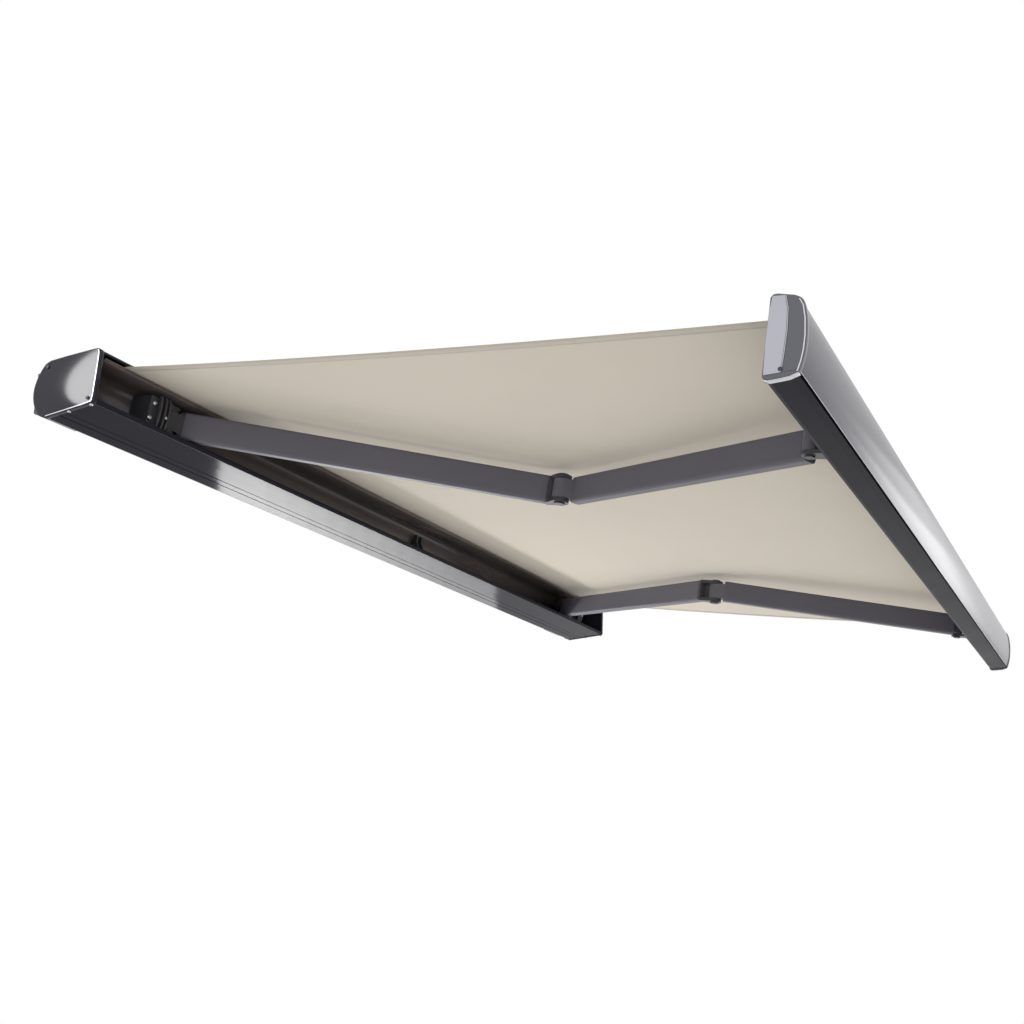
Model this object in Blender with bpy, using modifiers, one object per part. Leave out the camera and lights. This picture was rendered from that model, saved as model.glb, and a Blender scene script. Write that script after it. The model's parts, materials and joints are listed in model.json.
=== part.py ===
# Folding-arm cassette awning: closed box cassette on wall brackets, two folding arms, front bar, fabric.
# Metres, +Z up, +X along the awning, the awning reaches out along -Y.
# Origin: centre of the wall face of the middle wall bracket.
import bpy
import bmesh
import math
from mathutils import Matrix, Vector

# ---------------------------------------------------------------- driving dimensions
WIDTH = 3.000            # overall width over the cassette end caps
CAP_T = 0.014            # end cap thickness
PITCH = math.radians(12)  # slope of the fabric and arm plane below the horizontal
SHOULDER_OUT = 0.185     # distance of the shoulder pivots from the wall
SHOULDER_X = 1.2145      # shoulder pivots, left and right of centre
L_UPPER = 1.066          # upper arm, pivot to pivot
L_FORE = 0.856           # forearm, pivot to pivot
ALPHA0 = math.radians(56.8)   # upper arm angle to the cassette, fully out
TUBE_OFF = 0.030         # arm tube centre line beside its pivot line
UP_W, UP_H = 0.038, 0.0752
FO_W, FO_H = 0.036, 0.0715
TUBE_T = 0.003
FABRIC_HALF = 1.413      # half the fabric width
FABRIC_T = 0.0006
BAR_HALF = 1.505
HAND_SET = 0.0525        # hand pivot to the back face of the front bar
BAR_CLOSED = 0.0645      # back face of the bar ahead of the shoulder pivots, shut
ROLL_OUT, ROLL_Z, ROLL_R = 0.0852, 0.0366, 0.0390
FABRIC_ROLL_R = 0.0415
WALL = 0.0025            # cassette sheet thickness
GAP = 0.0004
SEG = 24

# forearm angle that lets the hand run straight out: L1(1-cos a) = L2(1-cos b)
BETA0 = math.acos(1.0 - L_UPPER * (1.0 - math.cos(ALPHA0)) / L_FORE)
HAND_OUT = L_UPPER * math.sin(ALPHA0) + L_FORE * math.sin(BETA0)
HAND_X = SHOULDER_X - (L_UPPER - L_FORE)
ELBOW_X = SHOULDER_X - L_UPPER * math.cos(ALPHA0)
ELBOW_OUT = L_UPPER * math.sin(ALPHA0)
BAR_OUT = HAND_OUT + HAND_SET

CP, SP = math.cos(PITCH), math.sin(PITCH)


def plane_matrix(x, a, n):
    """Frame in the arm plane: local X along the awning, -Y outward, Z normal to the fabric."""
    o = SHOULDER_OUT + a * CP + n * SP
    z = -a * SP + n * CP
    return Matrix.Translation((x, -o, z)) @ Matrix.Rotation(PITCH, 4, 'X')


# ---------------------------------------------------------------- scene set-up
for ob in list(bpy.data.objects):
    bpy.data.objects.remove(ob, do_unlink=True)
PARTS = bpy.data.collections.new("canvas_awning")
CUTS = bpy.data.collections.new("cutters")
bpy.context.scene.collection.children.link(PARTS)
bpy.context.scene.collection.children.link(CUTS)


def material(name, rgb, rough, metal):
    m = bpy.data.materials.new(name)
    m.use_nodes = True
    b = m.node_tree.nodes["Principled BSDF"]
    b.inputs["Base Color"].default_value = (*rgb, 1)
    b.inputs["Roughness"].default_value = rough
    b.inputs["Metallic"].default_value = metal
    return m


ANTHRACITE = material("anthracite_coat", (0.045, 0.045, 0.055), 0.30, 0.2)
ARM_COAT = material("arm_coat", (0.09, 0.085, 0.105), 0.35, 0.2)
CAST = material("cast_dark", (0.035, 0.035, 0.042), 0.45, 0.2)
SILVER = material("bar_coat", (0.35, 0.35, 0.37), 0.25, 0.4)
STEEL = material("zinc_steel", (0.55, 0.55, 0.56), 0.35, 1.0)
FABRIC = material("beige_fabric", (0.62, 0.58, 0.50), 0.9, 0.0)
PLASTIC = material("black_plastic", (0.02, 0.02, 0.022), 0.5, 0.0)
ALU = material("mill_aluminium", (0.6, 0.6, 0.62), 0.4, 1.0)


def empty(name, mat):
    e = bpy.data.objects.new(name, None)
    e.matrix_world = mat
    PARTS.objects.link(e)
    return e


def make(name, bm, mat=None, parent=None, local=None, mods=(), coll=PARTS):
    bmesh.ops.recalc_face_normals(bm, faces=bm.faces)
    me = bpy.data.meshes.new(name)
    bm.to_mesh(me)
    bm.free()
    ob = bpy.data.objects.new(name, me)
    coll.objects.link(ob)
    if mat:
        me.materials.append(mat)
    if parent:
        ob.parent = parent
    if local is not None:
        ob.matrix_local = local
    for kind, kw in mods:
        m = ob.modifiers.new(kind.lower(), kind)
        for k, v in kw.items():
            setattr(m, k, v)
    return ob


def hull(pts):
    pts = sorted(set((round(x, 7), round(y, 7)) for x, y in pts))

    def half(seq):
        out = []
        for p in seq:
            while len(out) > 1 and ((out[-1][0] - out[-2][0]) * (p[1] - out[-2][1])
                                    - (out[-1][1] - out[-2][1]) * (p[0] - out[-2][0])) <= 1e-12:
                out.pop()
            out.append(p)
        return out
    lo, hi = half(pts), half(pts[::-1])
    return lo[:-1] + hi[:-1]


def ring(cx, cy, r, n=SEG):
    return [(cx + r * math.cos(2 * math.pi * i / n), cy + r * math.sin(2 * math.pi * i / n)) for i in range(n)]


def prism_bm(outline, z0, z1):
    bm = bmesh.new()
    vs = [bm.verts.new((x, y, z0)) for x, y in outline]
    f = bm.faces.new(vs)
    ext = bmesh.ops.extrude_face_region(bm, geom=[f])
    bmesh.ops.translate(bm, vec=(0, 0, z1 - z0), verts=[v for v in ext["geom"] if isinstance(v, bmesh.types.BMVert)])
    bmesh.ops.recalc_face_normals(bm, faces=bm.faces)
    return bm


def box_bm(lo, hi):
    bm = bmesh.new()
    bmesh.ops.create_cube(bm, size=1)
    for v in bm.verts:
        v.co = Vector([lo[i] + (v.co[i] + 0.5) * (hi[i] - lo[i]) for i in range(3)])
    return bm


def cyl_bm(r, z0, z1, at=(0, 0), n=SEG, r2=None):
    bm = bmesh.new()
    bmesh.ops.create_cone(bm, cap_ends=True, segments=n, radius1=r, radius2=r if r2 is None else r2, depth=z1 - z0)
    bmesh.ops.translate(bm, vec=(at[0], at[1], (z0 + z1) / 2), verts=bm.verts)
    return bm


def xcyl_bm(r, x0, x1, o, z, n=SEG):
    """Cylinder along X at distance o from the wall and height z."""
    bm = cyl_bm(r, x0, x1, n=n)
    bmesh.ops.transform(bm, matrix=Matrix(((0, 0, 1, 0), (0, 1, 0, -o), (-1, 0, 0, z), (0, 0, 0, 1))), verts=bm.verts)
    return bm


def moved(bm, mat):
    bmesh.ops.transform(bm, matrix=mat, verts=bm.verts)
    return bm


def fuse(name, adds, cuts=(), mat=None, parent=None, local=None, bevel=0.0):
    """Union of the adds, less the cuts, as one solid."""
    tmp = [make(name + "_t%d" % i, b, coll=CUTS) for i, b in enumerate(list(adds) + list(cuts))]
    base = tmp[0]
    for i, t in enumerate(tmp[1:], 1):
        m = base.modifiers.new("b%d" % i, 'BOOLEAN')
        m.operation = 'UNION' if i < len(adds) else 'DIFFERENCE'
        m.solver = 'EXACT'
        m.object = t
    bpy.context.view_layer.update()
    dg = bpy.context.evaluated_depsgraph_get()
    me = bpy.data.meshes.new_from_object(base.evaluated_get(dg))
    for t in tmp:
        bpy.data.objects.remove(t, do_unlink=True)
    bm = bmesh.new()
    bm.from_mesh(me)
    bpy.data.meshes.remove(me)
    bmesh.ops.remove_doubles(bm, verts=bm.verts, dist=0.00001)
    bmesh.ops.dissolve_limit(bm, angle_limit=0.002, verts=bm.verts, edges=bm.edges)
    ob = make(name, bm, mat, parent, local)
    if bevel:
        b = ob.modifiers.new("bevel", 'BEVEL')
        b.width = bevel
        b.segments = 1
        b.limit_method = 'ANGLE'
        b.angle_limit = math.radians(50)
    return ob


def x_extrusion_bm(pts, x0, x1):
    """Closed (o, z) outline run along X between x0 and x1."""
    bm = prism_bm(pts, x0, x1)
    bmesh.ops.transform(bm, matrix=Matrix(((0, 0, 1, 0), (-1, 0, 0, 0), (0, 1, 0, 0), (0, 0, 0, 1))), verts=bm.verts)
    bmesh.ops.recalc_face_normals(bm, faces=bm.faces)
    return bm


def x_sheet(name, pts, x0, x1, t, mat, parent=None, local=None, inward=1.0):
    """Open (o, z) path run along X and thickened."""
    bm = bmesh.new()
    a = [bm.verts.new((x0, -o, z)) for o, z in pts]
    b = [bm.verts.new((x1, -o, z)) for o, z in pts]
    for i in range(len(pts) - 1):
        bm.faces.new((a[i], b[i], b[i + 1], a[i + 1]))
    me = bpy.data.meshes.new(name)
    bm.to_mesh(me)
    bm.free()
    ob = bpy.data.objects.new(name, me)
    PARTS.objects.link(ob)
    me.materials.append(mat)
    if parent:
        ob.parent = parent
    if local is not None:
        ob.matrix_local = local
    s = ob.modifiers.new("solidify", 'SOLIDIFY')
    s.thickness = t
    s.offset = inward
    s.use_even_offset = True
    return ob


def round_rect(w, h, r, n=3):
    pts = []
    for cx, cy, a0 in ((w / 2 - r, h / 2 - r, 0), (-w / 2 + r, h / 2 - r, 90), (-w / 2 + r, -h / 2 + r, 180), (w / 2 - r, -h / 2 + r, 270)):
        for i in range(n + 1):
            a = math.radians(a0 + 90 * i / n)
            pts.append((cx + r * math.cos(a), cy + r * math.sin(a)))
    return pts


def spline(pts, sub=4):
    """Open path through the points with rounded spans between them."""
    out = []
    for i in range(len(pts) - 1):
        p0, p1, p2 = pts[max(i - 1, 0)], pts[i], pts[i + 1]
        p3 = pts[min(i + 2, len(pts) - 1)]
        for j in range(sub):
            t = j / sub
            out.append(tuple(0.5 * (2 * p1[c] + (p2[c] - p0[c]) * t + (2 * p0[c] - 5 * p1[c] + 4 * p2[c] - p3[c]) * t * t
                                    + (3 * p1[c] - p0[c] - 3 * p2[c] + p3[c]) * t ** 3) for c in range(2)))
    return out + [pts[-1]]


def tube(name, x0, x1, yc, w, h, mat, parent, local):
    """Hollow arm profile along local X, open at both ends."""
    bm = bmesh.new()
    prof = round_rect(w, h, 0.008)
    a = [bm.verts.new((x0, yc + y, z)) for y, z in prof]
    b = [bm.verts.new((x1, yc + y, z)) for y, z in prof]
    k = len(prof)
    for i in range(k):
        bm.faces.new((a[i], a[(i + 1) % k], b[(i + 1) % k], b[i]))
    ob = make(name, bm, mat, parent, local)
    s = ob.modifiers.new("solidify", 'SOLIDIFY')
    s.thickness = TUBE_T
    s.offset = -1.0
    s.use_even_offset = True
    return ob


def arm_block(x0, x1, yc, w, h, r=0.008):
    """Solid rounded block along local X."""
    bm = prism_bm(round_rect(w, h, r), x0, x1)
    bmesh.ops.transform(bm, matrix=Matrix(((0, 0, 1, 0), (1, 0, 0, yc), (0, 1, 0, 0), (0, 0, 0, 1))), verts=bm.verts)
    bmesh.ops.recalc_face_normals(bm, faces=bm.faces)
    return bm


# ---------------------------------------------------------------- cassette
# outline of the cassette in (distance from wall, height), from the hood lip over the back to the lower lip
def cass(o, z):
    return (SHOULDER_OUT + o, z)


HOOD = [cass(0.0560, 0.0660), cass(0.0545, 0.0710), cass(0.0500, 0.0755), cass(0.0340, 0.0790), cass(0.0000, 0.0812),
        cass(-0.0600, 0.0846), cass(-0.1000, 0.0866)]
BACK = [cass(-0.1005, 0.0862), cass(-0.1180, 0.0860), cass(-0.1360, 0.0800), cass(-0.1510, 0.0630), cass(-0.1630, 0.0410),
        cass(-0.1690, 0.0150), cass(-0.1660, -0.0120), cass(-0.1560, -0.0360), cass(-0.1410, -0.0560), cass(-0.1200, -0.0665),
        cass(-0.0700, -0.0660), cass(-0.0100, -0.0650), cass(0.0400, -0.0645), cass(0.0465, -0.0610), cass(0.0480, -0.0545)]
XB = WIDTH / 2 - CAP_T - GAP
x_sheet("cassette_hood", HOOD, -XB, XB, WALL, ANTHRACITE, inward=-1.0)
back_path = BACK[:1] + spline(BACK[1:10], 3) + BACK[10:]
x_sheet("cassette_back_profile", back_path, -XB, XB, WALL, ANTHRACITE, inward=-1.0)

cap_outline = [cass(0.0580, 0.0650), cass(0.0560, 0.0730), cass(0.0480, 0.0790), cass(0.0340, 0.0810), cass(-0.0600, 0.0865),
               cass(-0.1190, 0.0885), cass(-0.1380, 0.0820), cass(-0.1530, 0.0645), cass(-0.1655, 0.0415), cass(-0.1715, 0.0150),
               cass(-0.1685, -0.0130), cass(-0.1580, -0.0375), cass(-0.1425, -0.0580), cass(-0.1205, -0.0690), cass(-0.0800, -0.0685),
               cass(0.0425, -0.0675), cass(0.0480, -0.0620), cass(0.0525, 0.0000)]
cap_outline = cap_outline[:5] + spline(cap_outline[5:14], 3) + cap_outline[14:]
for side, s in (("left", -1), ("right", 1)):
    x0, x1 = sorted((s * (WIDTH / 2 - CAP_T), s * WIDTH / 2))
    ob = make("end_cap_" + side, x_extrusion_bm(cap_outline, x0, x1), ANTHRACITE)
    b = ob.modifiers.new("bevel", 'BEVEL')
    b.width = 0.004
    b.segments = 2
    b.limit_method = 'ANGLE'
    b.angle_limit = math.radians(60)
    # roller bearing plate inside the cap
    x0, x1 = sorted((s * (XB - 0.006), s * (XB - 0.0005)))
    plate = [cass(-0.140, 0.0660), cass(-0.135, 0.0740), cass(-0.118, 0.0800), cass(-0.062, 0.0790), cass(-0.052, 0.068),
             cass(-0.052, 0.005), cass(-0.062, -0.006), cass(-0.140, -0.006), cass(-0.152, 0.010), cass(-0.152, 0.045)]
    hole = xcyl_bm(0.0094, -1.6, 1.6, ROLL_OUT, ROLL_Z)
    fuse("bearing_plate_" + side, [x_extrusion_bm(plate, x0, x1)], [hole], CAST)

# screws through the end caps into the profiles' screw channels
for side, s in (("left", -1), ("right", 1)):
    for nm, (o, z) in (("upper", cass(-0.125, 0.071)), ("lower", cass(0.030, -0.0520))):
        x0, x1 = sorted((s * (WIDTH / 2 + GAP), s * (WIDTH / 2 + 0.0028)))
        make("cap_screw_%s_%s" % (nm, side), xcyl_bm(0.0045, x0, x1, o, z, 12), STEEL)

# ---------------------------------------------------------------- wall brackets: plate with a claw over the back profile
BRACKETS = (("left", -1.420, 0.0045), ("center", 0.0, 0.0), ("right", 1.420, 0.0045))
for nm, x, d in BRACKETS:
    claw = [(0.0, 0.075), (0.0, -0.0300 - d), (0.0080, -0.0352 - d), (0.0190, -0.0400 - d), (0.0235, -0.0370 - d), (0.0148, -0.0130), (0.0128, 0.0150),
            (0.0185, 0.0430), (0.0300, 0.0660), (0.0300, 0.0690), (0.0240, 0.0750)]
    ob = make("wall_bracket_" + nm, x_extrusion_bm(claw, x - 0.060, x + 0.060), CAST)
# clamp bars over the cassette hold it in the bracket claws
for nm, x, d in BRACKETS:
    clamp = [(0.0145, 0.0760), (0.0300, 0.0765), (0.0300, 0.0885), (0.0760, 0.0905), (0.0760, 0.0935), (0.0180, 0.0935), (0.0145, 0.0900)]
    make("bracket_clamp_" + nm, x_extrusion_bm(clamp, x - 0.045, x + 0.045), CAST)
for nm, x, d in BRACKETS:
    make("clamp_screw_" + nm, cyl_bm(0.0065, 0.0938, 0.0995, at=(x, -0.0240), n=6), STEEL)

# ---------------------------------------------------------------- roller, motor and wound fabric
roller_axis = empty("roller_axis", Matrix.Translation((0, -ROLL_OUT, ROLL_Z)))
RL = XB - 0.030


def ring_bm(ro, ri, x0, x1, n=SEG):
    """Tube along X about the local X axis, from a turned section."""
    bm = bmesh.new()
    loops = []
    for r, x in ((ro, x0), (ro, x1), (ri, x1), (ri, x0)):
        loops.append([bm.verts.new((x, r * math.cos(2 * math.pi * i / n), r * math.sin(2 * math.pi * i / n))) for i in range(n)])
    for j in range(4):
        p, q = loops[j], loops[(j + 1) % 4]
        for i in range(n):
            bm.faces.new((p[i], p[(i + 1) % n], q[(i + 1) % n], q[i]))
    return bm


def lcyl(r, x0, x1, n=SEG):
    bm = cyl_bm(r, x0, x1, n=n)
    bmesh.ops.transform(bm, matrix=Matrix(((0, 0, 1, 0), (0, 1, 0, 0), (-1, 0, 0, 0), (0, 0, 0, 1))), verts=bm.verts)
    return bm


make("roller_tube", ring_bm(ROLL_R, ROLL_R - 0.002, -RL, RL), ALU, roller_axis)
make("wound_fabric", ring_bm(FABRIC_ROLL_R, ROLL_R + 0.0004, -FABRIC_HALF, FABRIC_HALF), FABRIC, roller_axis)
fuse("idler_plug", [lcyl(ROLL_R - 0.0024, -RL + 0.001, -RL + 0.060), lcyl(ROLL_R, -RL - 0.006, -RL - 0.0005), lcyl(0.022, -RL - 0.003, -RL + 0.010),
                    lcyl(0.0090, -XB + 0.001, -RL)], [], PLASTIC, roller_axis)
fuse("drive_wheel", [lcyl(ROLL_R - 0.0024, RL - 0.620, RL - 0.595)], [lcyl(0.0110, RL - 0.7, RL)], PLASTIC, roller_axis)
fuse("roller_crown", [ring_bm(ROLL_R - 0.0024, 0.0285, RL - 0.030, RL - 0.001), ring_bm(ROLL_R, 0.0285, RL + 0.0005, RL + 0.006),
                      ring_bm(0.0350, 0.0285, RL - 0.004, RL + 0.003)], [], PLASTIC, roller_axis)
# the motor stands still inside the turning tube
fuse("tubular_motor", [xcyl_bm(0.0275, RL - 0.580, RL + 0.008, ROLL_OUT, ROLL_Z), xcyl_bm(0.0105, RL - 0.640, RL - 0.570, ROLL_OUT, ROLL_Z)],
     [], STEEL)
fuse("motor_head", [xcyl_bm(0.0340, RL + 0.0085, RL + 0.0220, ROLL_OUT, ROLL_Z), xcyl_bm(0.0090, RL + 0.018, XB - 0.001, ROLL_OUT, ROLL_Z)],
     [], PLASTIC)

# ---------------------------------------------------------------- arms
A_BEG = 0.0310           # full-height block of the shoulder joint starts this far from the pivot
A_FORK = 0.0256          # the same for the elbow fork
A_KN = 0.0286            # the same for the elbow knuckle
KN_H = 0.0256            # half height of the knuckles between the fork lugs
HB = 0.0260              # the same at the hand
PIN_R = 0.0080
for side, s in (("left", -1), ("right", 1)):
    S = empty("shoulder_axis_" + side, plane_matrix(s * SHOULDER_X, 0, 0))
    E = empty("elbow_axis_" + side, plane_matrix(s * ELBOW_X, ELBOW_OUT, 0))
    H = empty("hand_axis_" + side, plane_matrix(s * HAND_X, HAND_OUT, 0))
    ang_up = -ALPHA0 if s < 0 else math.pi + ALPHA0
    ang_fo = math.pi + BETA0 if s < 0 else -BETA0
    RU = Matrix.Rotation(ang_up, 4, 'Z')
    RF = Matrix.Rotation(ang_fo, 4, 'Z')
    k = 1 if s < 0 else -1           # outer side of the bend in arm-local Y
    yo = k * TUBE_OFF

    def neck(r, xe, w, z0, z1, flip=1):
        return prism_bm(hull(ring(0, 0, r) + [(flip * xe, yo - w / 2 + 0.0008), (flip * xe, yo + w / 2 - 0.0008),
                                              (flip * (xe - 0.004), yo - w / 2 + 0.0008), (flip * (xe - 0.004), yo + w / 2 - 0.0008)]), z0, z1)

    # upper arm, in its own frame: X from the shoulder to the elbow
    fuse("shoulder_joint_" + side,
         [neck(0.0240, A_BEG + 0.010, UP_W, -KN_H, KN_H), arm_block(A_BEG, A_BEG + 0.012, yo, UP_W, UP_H),
          arm_block(A_BEG + 0.008, A_BEG + 0.050, yo, UP_W - 2 * TUBE_T - 0.0008, UP_H - 2 * TUBE_T - 0.0008, 0.005)],
         [cyl_bm(PIN_R + 0.0003, -0.1, 0.1)], CAST, S, RU)
    tube("upper_arm_" + side, A_BEG + 0.0125, L_UPPER - A_FORK - 0.0125, yo, UP_W, UP_H, ARM_COAT, S, RU)
    T = Matrix.Translation((L_UPPER, 0, 0))
    fork = [moved(neck(0.0245, A_FORK + 0.006, UP_W, KN_H + 0.0006, UP_H / 2, -1), T),
            moved(neck(0.0245, A_FORK + 0.006, UP_W, -UP_H / 2, -KN_H - 0.0006, -1), T),
            arm_block(L_UPPER - A_FORK - 0.012, L_UPPER - A_FORK, yo, UP_W, UP_H),
            arm_block(L_UPPER - A_FORK - 0.050, L_UPPER - A_FORK - 0.008, yo, UP_W - 2 * TUBE_T - 0.0008, UP_H - 2 * TUBE_T - 0.0008, 0.005)]
    fuse("elbow_fork_" + side, fork, [moved(cyl_bm(PIN_R + 0.0003, -0.1, 0.1), T)], CAST, S, RU)
    fuse("elbow_pin_" + side, [moved(cyl_bm(PIN_R, -UP_H / 2 - 0.002, UP_H / 2 + 0.002), T),
                               moved(cyl_bm(0.0150, UP_H / 2 + 0.0004, UP_H / 2 + 0.0045), T),
                               moved(cyl_bm(0.0150, -UP_H / 2 - 0.0045, -UP_H / 2 - 0.0004), T)], [], STEEL, S, RU)

    # forearm, X from the elbow to the hand
    fuse("elbow_knuckle_" + side,
         [neck(0.0240, A_KN + 0.006, FO_W, -KN_H, KN_H), arm_block(A_KN, A_KN + 0.012, yo, FO_W, FO_H),
          arm_block(A_KN + 0.008, A_KN + 0.050, yo, FO_W - 2 * TUBE_T - 0.0008, FO_H - 2 * TUBE_T - 0.0008, 0.005)],
         [cyl_bm(PIN_R + 0.0004, -0.1, 0.1)], CAST, E, RF)
    tube("forearm_" + side, A_KN + 0.0125, L_FORE - HB - 0.0105, yo, FO_W, FO_H, ARM_COAT, E, RF)
    T = Matrix.Translation((L_FORE, 0, 0))
    hr = PIN_R + 0.0004 if s < 0 else 0.0136      # the right-hand pin floats in a wide hole
    hand = [moved(neck(0.0178, HB + 0.006, FO_W, -KN_H, KN_H, -1), T),
            arm_block(L_FORE - HB - 0.010, L_FORE - HB, yo, FO_W, FO_H),
            arm_block(L_FORE - HB - 0.045, L_FORE - HB - 0.006, yo, FO_W - 2 * TUBE_T - 0.0008, FO_H - 2 * TUBE_T - 0.0008, 0.005)]
    fuse("hand_joint_" + side, hand, [moved(cyl_bm(hr, -0.1, 0.1), T)], CAST, E, RF)
    # tension spring in the forearm and the cable that runs from it towards the elbow
    cu = bpy.data.curves.new("tension_spring_" + side, 'CURVE')
    cu.dimensions = '3D'
    cu.bevel_depth = 0.0016
    cu.bevel_resolution = 1
    cu.use_fill_caps = True
    cu.resolution_u = 1
    cu.render_resolution_u = 0
    sp = cu.splines.new('POLY')
    turns, per = 24, 8
    sp.points.add(turns * per)
    for i in range(turns * per + 1):
        t = 2 * math.pi * i / per
        sp.points[i].co = (0.30 + 0.42 * i / (turns * per), yo + 0.0105 * math.cos(t), 0.0105 * math.sin(t), 1)
    ob = bpy.data.objects.new("tension_spring_" + side, cu)
    cu.materials.append(STEEL)
    PARTS.objects.link(ob)
    ob.parent = E
    ob.matrix_local = RF

    # fixed shoulder bracket: foot on the cassette floor, outboard post, two lugs round the pivot
    MS = plane_matrix(s * SHOULDER_X, 0, 0)
    lug_pts = hull(ring(0, 0, 0.0255) + [(s * 0.050, -0.030), (s * 0.050, 0.036), (s * 0.070, -0.030), (s * 0.070, 0.036)])
    rib_pts = hull(ring(0, 0, 0.0290) + [(s * 0.040, -0.030), (s * 0.040, 0.030)])
    x0, x1 = sorted((s * 0.034, s * 0.092))
    xf0, xf1 = sorted((s * (SHOULDER_X - 0.026), s * (SHOULDER_X + 0.105)))
    foot = x_extrusion_bm([(SHOULDER_OUT - 0.112, -0.0622), (SHOULDER_OUT + 0.034, -0.0614), (SHOULDER_OUT + 0.034, -0.0500),
                           (SHOULDER_OUT - 0.060, -0.0480), (SHOULDER_OUT - 0.112, -0.0560)], xf0, xf1)
    post = box_bm((x0, -0.032, -0.056), (x1, 0.038, 0.0380))
    r0, r1 = sorted((s * 0.040, s * 0.046))
    r2, r3 = sorted((s * 0.058, s * 0.064))
    fuse("shoulder_bracket_" + side,
         [foot, moved(post, MS), moved(prism_bm(lug_pts, KN_H + 0.0006, 0.0350), MS), moved(prism_bm(lug_pts, -0.0350, -KN_H - 0.0006), MS),
          moved(prism_bm(rib_pts, 0.0340, 0.0385), MS), moved(prism_bm(rib_pts, -0.0385, -0.0340), MS),
          moved(box_bm((r0, -0.0400, -0.0440), (r1, 0.030, 0.0440)), MS), moved(box_bm((r2, -0.0400, -0.0440), (r3, 0.030, 0.0440)), MS)],
         [moved(cyl_bm(PIN_R + 0.0003, -0.1, 0.1), MS)], CAST)
    fuse("shoulder_pin_" + side, [moved(cyl_bm(PIN_R, -0.0400, 0.0400), MS), moved(cyl_bm(0.0130, 0.0389, 0.0450, n=6), MS),
                                  moved(cyl_bm(0.0130, -0.0450, -0.0389, n=6), MS)], [], STEEL)

    # hand bracket on the front bar
    pr = PIN_R if s < 0 else PIN_R - 0.0014
    x0, x1 = -0.024, 0.024
    lug = hull(ring(0, 0, 0.0180) + [(-0.0215, -HAND_SET + 0.006), (0.0215, -HAND_SET + 0.006), (-0.0215, -HAND_SET + 0.002), (0.0215, -HAND_SET + 0.002)])
    fuse("hand_bracket_" + side,
         [box_bm((x0, -HAND_SET + 0.0004, -0.0372), (x1, -HAND_SET + 0.0075, 0.0372)), prism_bm(lug, KN_H + 0.0006, 0.0350),
          prism_bm(lug, -0.0350, -KN_H - 0.0006)],
         [cyl_bm(pr + 0.0003, -0.1, 0.1)], CAST, H)
    fuse("hand_pin_" + side, [cyl_bm(pr, -0.0360, 0.0360), cyl_bm(0.0120, 0.0354, 0.0390, n=6), cyl_bm(0.0120, -0.0390, -0.0354, n=6)],
         [], STEEL, H)

    # rest that lifts the folding arm clear of the cassette floor
    xr = s * 0.300
    rest = [cass(-0.055, -0.0622), cass(0.036, -0.0615), cass(0.036, -0.0580), cass(0.010, -0.0480), cass(-0.030, -0.0440), cass(-0.055, -0.0480)]
    make("arm_rest_" + side, x_extrusion_bm(rest, xr - 0.022, xr + 0.022), PLASTIC)

# ---------------------------------------------------------------- front bar, in the arm plane
BAR = empty("front_bar_axis", plane_matrix(0, BAR_OUT, 0))
# outer face profile: open path from the fabric groove over the front to the lower edge
face = [(0.0000, 0.0400), (0.0000, 0.0830), (0.0035, 0.0880), (0.0100, 0.0888), (0.0400, 0.0840), (0.0520, 0.0775), (0.0585, 0.0640),
        (0.0640, 0.0400), (0.0668, 0.0100), (0.0665, -0.0150), (0.0640, -0.0350), (0.0600, -0.0500)]
face = face[:4] + spline(face[4:], 4)
x_sheet("front_bar_profile", face, -BAR_HALF + 0.0145, BAR_HALF - 0.0145, 0.0025, SILVER, BAR, Matrix.Identity(4), inward=1.0)
lower = [(0.0000, 0.0390), (0.0000, -0.0600), (0.0030, -0.0655), (0.0100, -0.0665), (0.0450, -0.0600), (0.0590, -0.0560), (0.0600, -0.0530)]
x_sheet("front_bar_back", lower, -BAR_HALF + 0.0145, BAR_HALF - 0.0145, 0.0025, ANTHRACITE, BAR, Matrix.Identity(4), inward=-1.0)
bcap = [(-0.0020, 0.0835), (0.0030, 0.0900), (0.0105, 0.0910), (0.0410, 0.0862), (0.0540, 0.0792), (0.0610, 0.0650), (0.0665, 0.0405),
        (0.0692, 0.0100), (0.0690, -0.0155), (0.0665, -0.0360), (0.0620, -0.0550), (0.0460, -0.0625), (0.0100, -0.0690), (0.0015, -0.0675), (-0.0020, -0.0610)]
bcap = bcap[:3] + spline(bcap[3:11], 3) + bcap[11:]
for side, s in (("left", -1), ("right", 1)):
    x0, x1 = sorted((s * (BAR_HALF - 0.0140), s * BAR_HALF))
    ob = make("bar_cap_" + side, x_extrusion_bm(bcap, x0, x1), ANTHRACITE, BAR)
    b = ob.modifiers.new("bevel", 'BEVEL')
    b.width = 0.003
    b.segments = 2
    b.limit_method = 'ANGLE'
    b.angle_limit = math.radians(60)
for side, s in (("left", -1), ("right", 1)):
    x0, x1 = sorted((s * (BAR_HALF + GAP), s * (BAR_HALF + 0.0024)))
    make("bar_screw_" + side, xcyl_bm(0.0040, x0, x1, 0.030, -0.050, 12), STEEL, BAR)
# welt rod holding the fabric in the bar
make("fabric_welt_rod", xcyl_bm(0.0025, -FABRIC_HALF, FABRIC_HALF, 0.0080, 0.0800, 8), PLASTIC, BAR)

# ---------------------------------------------------------------- fabric: from the top of the roll under the hood lip to the bar
def plane_to_oz(a, n):
    return (SHOULDER_OUT + a * CP + n * SP, -a * SP + n * CP)


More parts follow.
